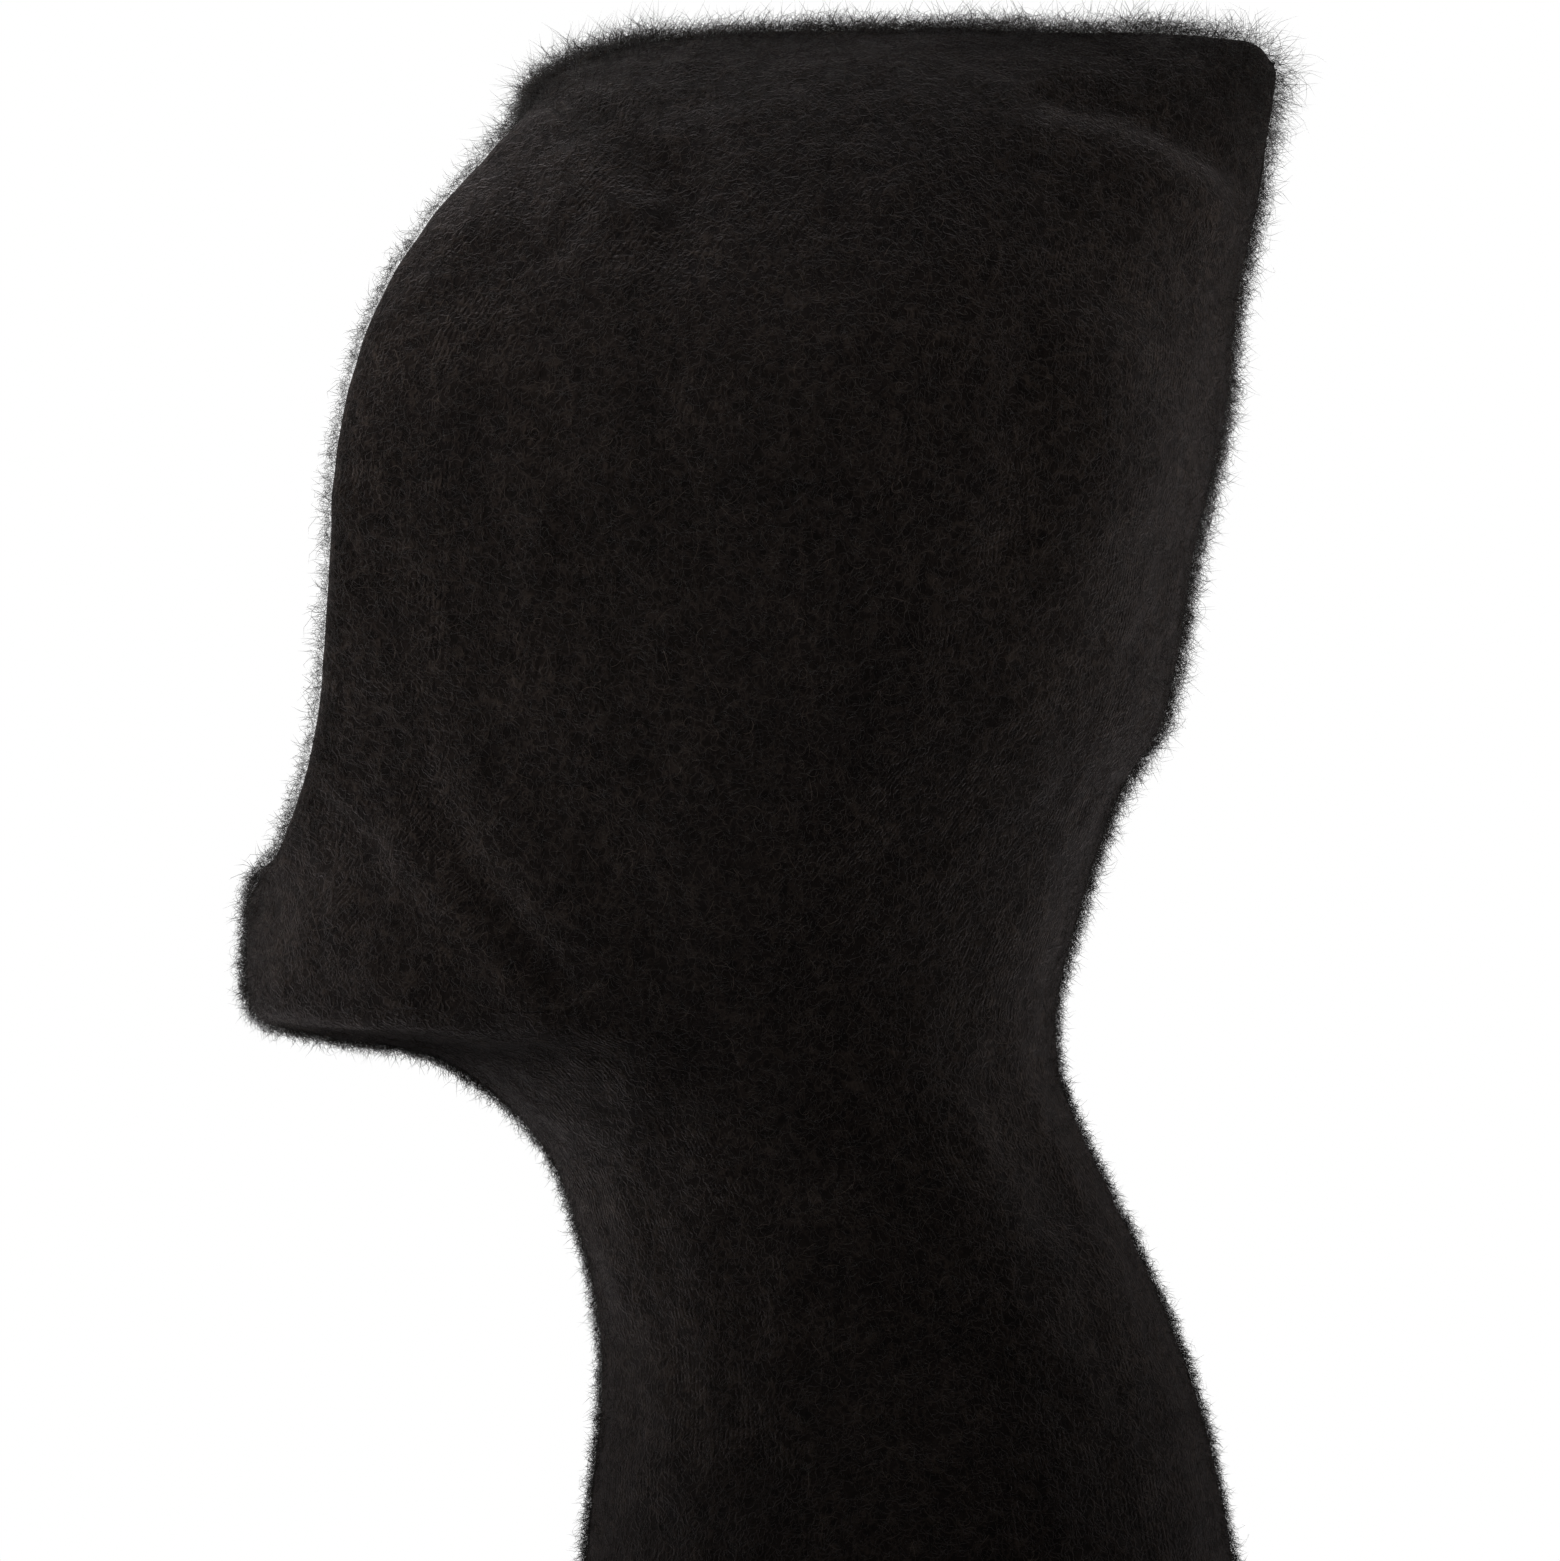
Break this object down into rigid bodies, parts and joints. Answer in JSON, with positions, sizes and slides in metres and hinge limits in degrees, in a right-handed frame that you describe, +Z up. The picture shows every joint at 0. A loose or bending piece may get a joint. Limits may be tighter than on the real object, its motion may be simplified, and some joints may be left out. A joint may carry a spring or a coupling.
{
  "type": "balaclava",
  "caption": "Brushed-knit balaclava with a face opening, a pointed crown and a long neck, open at the hem, shown in the shape it has when worn.",
  "frame": {"origin": "middle of the bounding box in X and Y, at the height of the hem's lower edge", "axes": "+Z up from the hem to the crown, -Y the way the face looks, +X towards the wearer's left; X = 0 is the plane between the two sides"},
  "size_m": [0.18, 0.2597, 0.4301],
  "materials": {
    "brushed_knit": "black brushed knit with a raised halo of fibres",
    "sewing_yarn": "black twisted sewing yarn",
    "woven_label": "black woven satin, blank",
    "care_satin": "off-white printed-label satin, blank"
  },
  "bodies": {
    "hood": {"left_side_panel": "brushed_knit", "right_side_panel": "brushed_knit", "face_band": "brushed_knit", "neck_hem_band": "brushed_knit", "crown_seam": "brushed_knit", "back_seam": "brushed_knit", "chin_neck_seam": "brushed_knit", "face_band_join": "brushed_knit", "neck_hem_join": "brushed_knit", "crown_overlock": "sewing_yarn", "back_overlock": "sewing_yarn", "chin_neck_overlock": "sewing_yarn", "face_band_linking": "sewing_yarn", "neck_hem_linking": "sewing_yarn", "crown_bar_tack": "sewing_yarn", "chin_bar_tack": "sewing_yarn", "brand_label": "woven_label", "brand_label_stitching": "sewing_yarn"},
    "care_label": {"care_label": "care_satin"}
  },
  "joints": [
    {"name": "care_label_flap", "type": "hinge", "parent": "hood", "child": "care_label", "pos_m": [0, 0.0867, 0.118], "axis": [-1, 0, 0], "range_deg": [-10, 140]}
  ]
}
